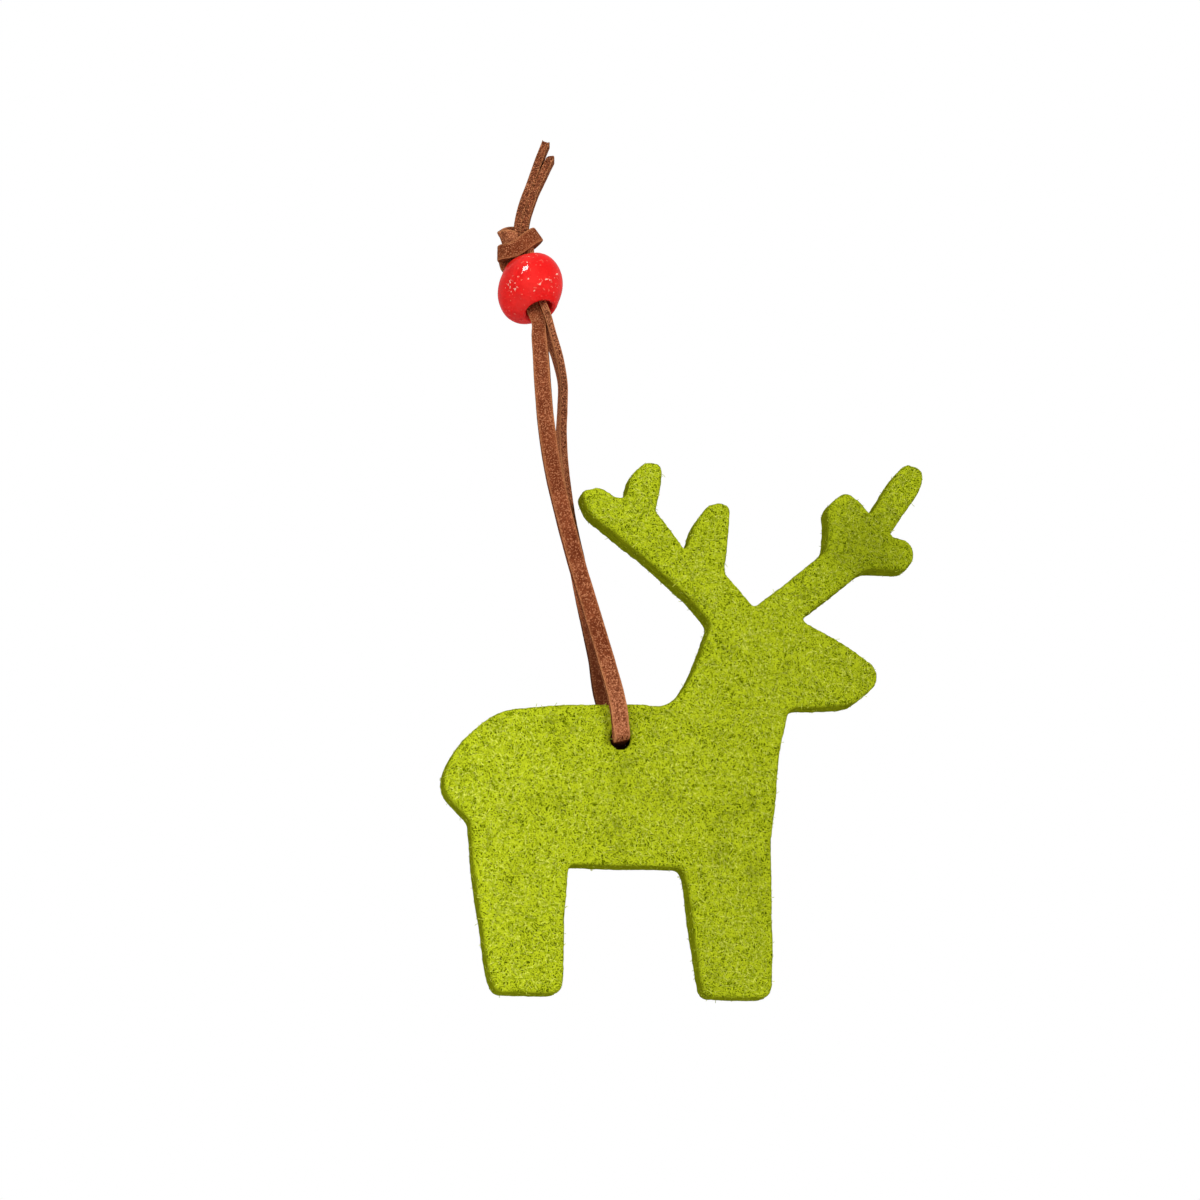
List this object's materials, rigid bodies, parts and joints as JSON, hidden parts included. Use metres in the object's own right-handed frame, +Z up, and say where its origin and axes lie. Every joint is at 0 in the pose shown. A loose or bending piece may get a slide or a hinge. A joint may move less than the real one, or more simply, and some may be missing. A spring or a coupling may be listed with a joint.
{
  "type": "hanging reindeer ornament",
  "caption": "Die-cut thick felt reindeer hung by a hole in its back on a doubled suede lace, with a lacquered wooden bead and a knot above it.",
  "frame": {"origin": "hanging point: the place in the lace's loop, just under the bead, where a twig or a hook bears", "axes": "+Z up, +X towards the reindeer's muzzle, +Y away from the viewer, out of the felt's back face"},
  "size_m": [0.0862, 0.0126, 0.1568],
  "materials": {
    "lime_felt": "matte, short fibres",
    "brown_suede": "matte nap, lighter along the edges",
    "red_lacquered_wood": "glossy lacquer"
  },
  "bodies": {
    "lace": {"lace_knot": "brown_suede", "lace_front_strand": "brown_suede", "lace_rear_strand": "brown_suede", "lace_bight": "brown_suede", "lace_long_tail": "brown_suede", "lace_short_tail": "brown_suede"},
    "reindeer": {"felt_reindeer": "lime_felt"},
    "bead": {"bead": "red_lacquered_wood"}
  },
  "joints": [
    {"name": "felt_swing", "type": "hinge", "parent": "lace", "child": "reindeer", "pos_m": [0.0128, 0, -0.0722], "axis": [0, 1, 0], "range_deg": [-45, 120]},
    {"name": "bead_slide", "type": "slide", "parent": "lace", "child": "bead", "axis": [0.2651, -0.3401, -0.9023], "range_m": [0, 0.003]}
  ]
}
